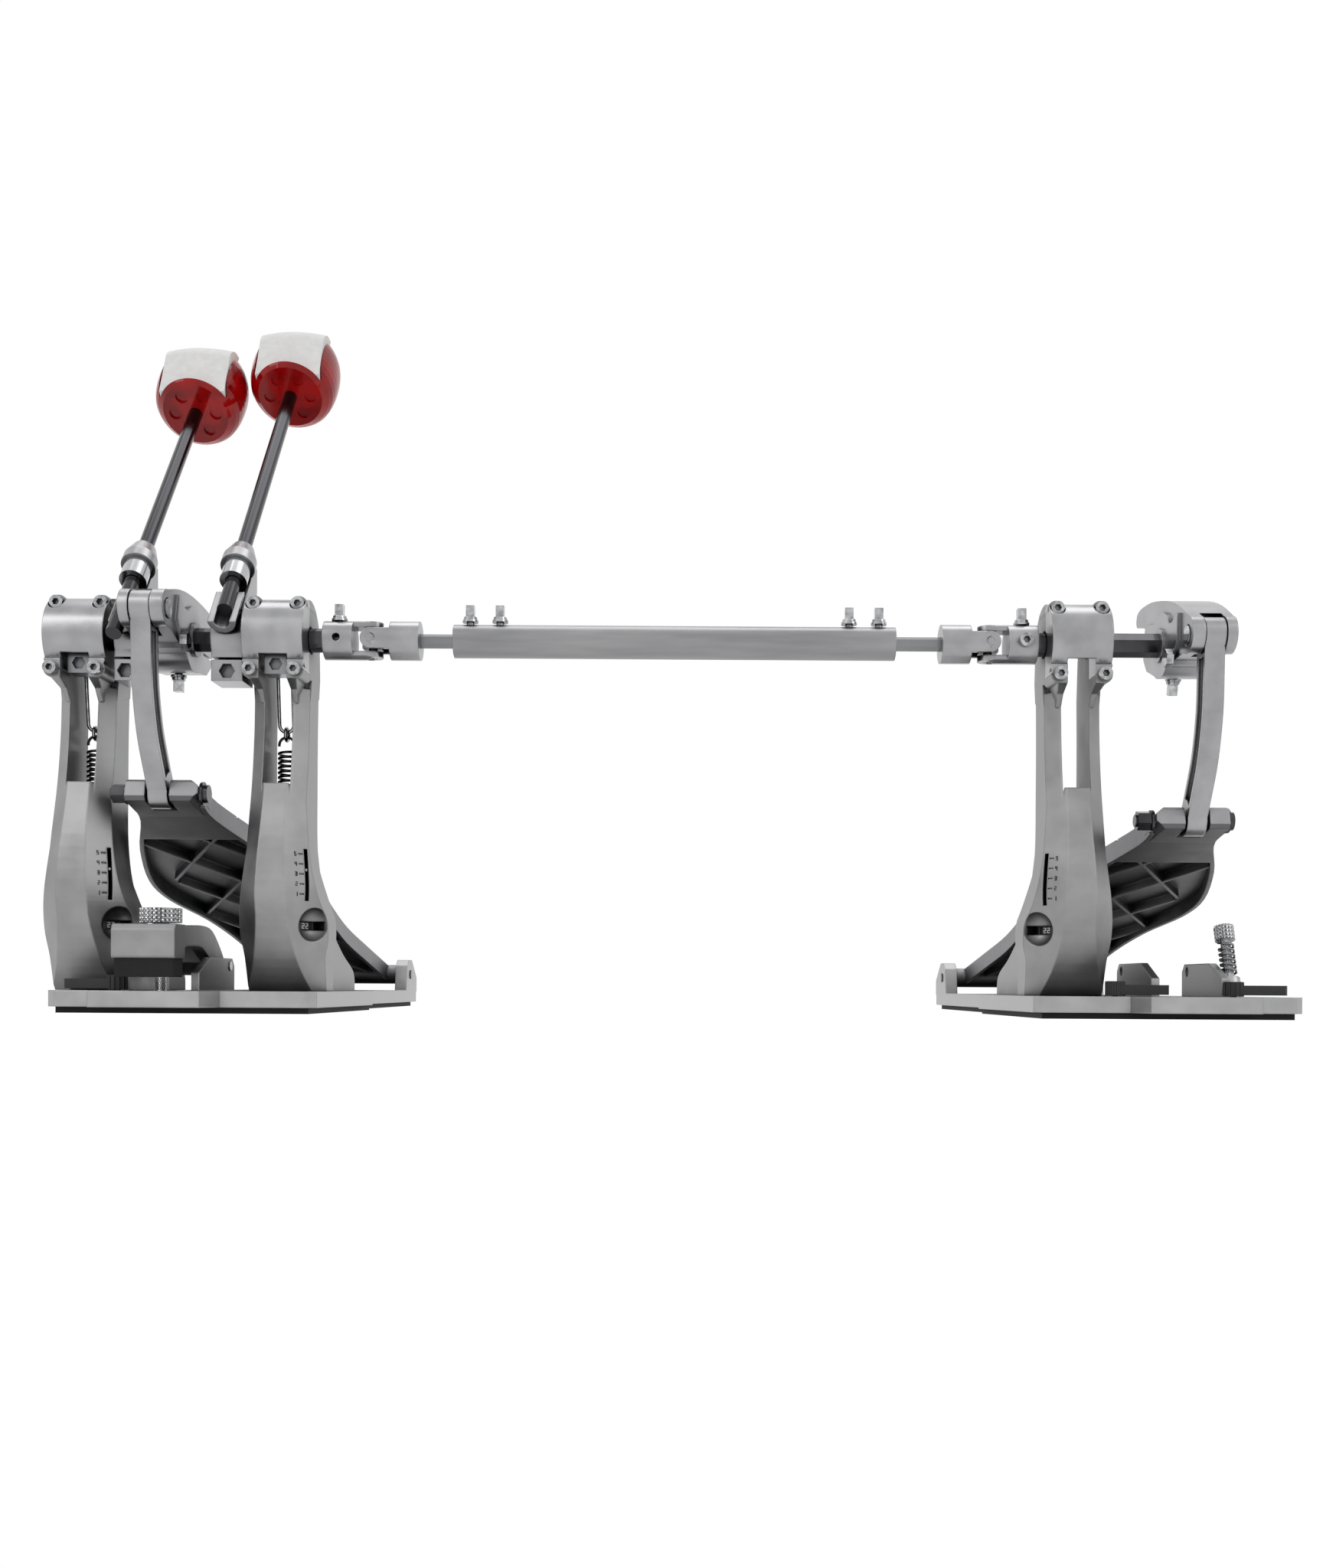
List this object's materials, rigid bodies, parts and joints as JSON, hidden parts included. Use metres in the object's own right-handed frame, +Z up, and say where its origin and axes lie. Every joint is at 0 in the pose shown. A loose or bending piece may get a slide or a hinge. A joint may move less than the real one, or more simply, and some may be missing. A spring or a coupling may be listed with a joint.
{
  "type": "double bass drum pedal",
  "caption": "Double bass drum pedal with direct-drive links, two red-headed beaters and a telescoping linkage shaft.",
  "frame": {"origin": "on the floor under the master pedal's drive shaft, in the centre plane of its link", "axes": "+X along the linkage from master to slave, +Y from the drum towards the player, +Z up"},
  "size_m": [0.6223, 0.382, 0.4017],
  "materials": {
    "cast": "satin",
    "bright_cast": "satin",
    "screws": "polished",
    "dark_steel": "polished",
    "steel": "satin",
    "red_head": "clear gloss",
    "felt": "matte",
    "black": "matte",
    "mat": "matte"
  },
  "bodies": {
    "master_frame": {"master_base": "cast", "master_mat": "mat", "outer_tower": "cast", "inner_tower": "cast", "master_bearing_caps": "bright_cast", "master_screws": "screws", "master_bearings": "steel"},
    "outer_wheel": {"outer_tension_wheel": "black"},
    "outer_nut": {"outer_tension_nut": "steel", "primary_spring": "dark_steel"},
    "inner_wheel": {"inner_tension_wheel": "black"},
    "inner_nut": {"inner_tension_nut": "steel", "secondary_spring": "dark_steel"},
    "master_swing_lever": {"master_lever": "black"},
    "hoop_arm": {"clamp_arm": "cast", "clamp_pad": "mat"},
    "hoop_knob": {"clamp_knob": "screws"},
    "primary_drive": {"primary_shaft": "dark_steel", "primary_hub": "bright_cast", "primary_cam": "bright_cast", "primary_fasteners": "screws", "primary_rocker": "steel"},
    "primary_shackle": {"primary_hook": "screws"},
    "primary_linkbar": {"primary_link": "bright_cast"},
    "primary_board": {"primary_footboard": "cast", "primary_footboard_pins": "dark_steel"},
    "primary_beater": {"primary_rod": "dark_steel", "primary_head": "red_head", "primary_felt": "felt"},
    "secondary_drive": {"secondary_shaft": "dark_steel", "secondary_hub": "bright_cast", "secondary_rocker": "steel", "secondary_fasteners": "screws", "master_universal_joint": "bright_cast", "master_bar": "steel", "linkage_tube": "cast"},
    "secondary_shackle": {"secondary_hook": "screws"},
    "secondary_beater": {"secondary_rod": "dark_steel", "secondary_head": "red_head", "secondary_felt": "felt"},
    "slave_frame": {"slave_base": "cast", "slave_mat": "mat", "slave_tower": "cast", "slave_bearing_cap": "bright_cast", "slave_screws": "screws", "slave_bearings": "steel"},
    "slave_wheel": {"slave_tension_wheel": "black"},
    "slave_drive": {"slave_universal_joint": "bright_cast", "slave_bar": "steel", "slave_shaft": "dark_steel", "slave_cam": "bright_cast", "slave_fasteners": "screws"},
    "slave_linkbar": {"slave_link": "bright_cast"},
    "slave_board": {"slave_footboard": "cast", "slave_footboard_pins": "dark_steel"},
    "floor_spur": {"spur": "screws", "spur_spring": "steel"},
    "slave_inner_swing_lever": {"slave_lever_inner": "black"},
    "slave_outer_swing_lever": {"slave_lever_outer": "black"}
  },
  "joints": [
    {"name": "primary_strike", "type": "hinge", "parent": "master_frame", "child": "primary_drive", "pos_m": [0, 0, 0.188], "axis": [1, 0, 0], "range_deg": [0, 40], "stiffness_Nm_per_rad": 1.6, "springref_deg": -34.38, "deforming": ["primary_spring"]},
    {"name": "primary_shackle_swing", "type": "hinge", "parent": "primary_drive", "child": "primary_shackle", "pos_m": [-0.0415, 0.00795, 0.17528], "axis": [1, 0, 0], "range_deg": [-52, 1]},
    {"name": "primary_link_swing", "type": "hinge", "parent": "primary_drive", "child": "primary_linkbar", "pos_m": [0, -0.038, 0.195], "axis": [1, 0, 0], "range_deg": [-47, 1]},
    {"name": "primary_board_tilt", "type": "hinge", "parent": "master_frame", "child": "primary_board", "pos_m": [0, 0.3, 0.022], "axis": [1, 0, 0], "range_deg": [-0.1, 5.5]},
    {"name": "primary_beater_reach", "type": "slide", "parent": "primary_drive", "child": "primary_beater", "axis": [0, 0.6428, 0.766], "range_m": [-0.008, 0]},
    {"name": "secondary_strike", "type": "hinge", "parent": "master_frame", "child": "secondary_drive", "pos_m": [0, 0, 0.188], "axis": [1, 0, 0], "range_deg": [0, 40], "stiffness_Nm_per_rad": 1.6, "springref_deg": -34.38, "deforming": ["secondary_spring"]},
    {"name": "secondary_shackle_swing", "type": "hinge", "parent": "secondary_drive", "child": "secondary_shackle", "pos_m": [0.0565, 0.00795, 0.17528], "axis": [1, 0, 0], "range_deg": [-52, 1]},
    {"name": "secondary_beater_reach", "type": "slide", "parent": "secondary_drive", "child": "secondary_beater", "axis": [0, 0.6428, 0.766], "range_m": [-0.008, 0]},
    {"name": "linkage_length", "type": "slide", "parent": "master_frame", "child": "slave_frame", "axis": [1, 0, 0], "range_m": [-0.015, 0.025]},
    {"name": "slave_strike", "type": "hinge", "parent": "slave_frame", "child": "slave_drive", "pos_m": [0.513, 0, 0.188], "axis": [1, 0, 0], "range_deg": [-0.5, 40.5]},
    {"name": "slave_link_swing", "type": "hinge", "parent": "slave_drive", "child": "slave_linkbar", "pos_m": [0.513, -0.03852, 0.18493], "axis": [1, 0, 0], "range_deg": [-51, 1]},
    {"name": "slave_board_tilt", "type": "hinge", "parent": "slave_frame", "child": "slave_board", "pos_m": [0.513, 0.3, 0.022], "axis": [1, 0, 0], "range_deg": [-0.1, 5.5]},
    {"name": "outer_wheel_turn", "type": "hinge", "parent": "master_frame", "child": "outer_wheel", "pos_m": [-0.0415, 0.013, 0.044], "axis": [0, 0, 1], "range_deg": [-1700, 1700]},
    {"name": "outer_nut_travel", "type": "slide", "parent": "master_frame", "child": "outer_nut", "axis": [0, 0, 1], "range_m": [-0.00562, 0.00562]},
    {"name": "inner_wheel_turn", "type": "hinge", "parent": "master_frame", "child": "inner_wheel", "pos_m": [0.0565, 0.013, 0.044], "axis": [0, 0, 1], "range_deg": [-1700, 1700]},
    {"name": "inner_nut_travel", "type": "slide", "parent": "master_frame", "child": "inner_nut", "axis": [0, 0, 1], "range_m": [-0.00562, 0.00562]},
    {"name": "slave_wheel_turn", "type": "hinge", "parent": "slave_frame", "child": "slave_wheel", "pos_m": [0.4565, 0.013, 0.044], "axis": [0, 0, 1], "continuous": true},
    {"name": "hoop_knob_lift", "type": "slide", "parent": "master_frame", "child": "hoop_knob", "axis": [0, 0, 1], "range_m": [-0.0015, 0.008]},
    {"name": "hoop_arm_tilt", "type": "hinge", "parent": "master_frame", "child": "hoop_arm", "pos_m": [0.001, 0.04, 0.024], "axis": [1, 0, 0], "range_deg": [-6.8, 1.4]},
    {"name": "spur_reach", "type": "slide", "parent": "slave_frame", "child": "floor_spur", "axis": [0, 0.342, 0.9397], "range_m": [-0.0068, 0], "deforming": ["spur_spring"]},
    {"name": "master_lever_swing", "type": "hinge", "parent": "master_frame", "child": "master_swing_lever", "pos_m": [-0.017, -0.0235, 0.012], "axis": [0, 0, 1], "range_deg": [0, 90]},
    {"name": "slave_outer_lever_swing", "type": "hinge", "parent": "slave_frame", "child": "slave_outer_swing_lever", "pos_m": [0.53, -0.0235, 0.012], "axis": [0, 0, 1], "range_deg": [-90, 0]},
    {"name": "slave_inner_lever_swing", "type": "hinge", "parent": "slave_frame", "child": "slave_inner_swing_lever", "pos_m": [0.472, -0.0235, 0.012], "axis": [0, 0, 1], "range_deg": [-90, 0]}
  ],
  "couplings": [
    {"joint": "primary_shackle_swing", "follows": "primary_strike", "ratio": -1.282},
    {"joint": "primary_link_swing", "follows": "primary_strike", "ratio": -1.1604},
    {"joint": "primary_board_tilt", "follows": "primary_strike", "ratio": 0.13273},
    {"joint": "secondary_shackle_swing", "follows": "secondary_strike", "ratio": -1.282},
    {"joint": "slave_strike", "follows": "secondary_strike", "ratio": 1},
    {"joint": "slave_link_swing", "follows": "secondary_strike", "ratio": -1.2501},
    {"joint": "slave_board_tilt", "follows": "secondary_strike", "ratio": 0.12791},
    {"joint": "outer_wheel_turn", "follows": "outer_nut_travel", "rad_per_m": 5026.5},
    {"joint": "inner_wheel_turn", "follows": "inner_nut_travel", "rad_per_m": 5026.5},
    {"joint": "hoop_arm_tilt", "follows": "hoop_knob_lift", "rad_per_m": -14.6}
  ]
}
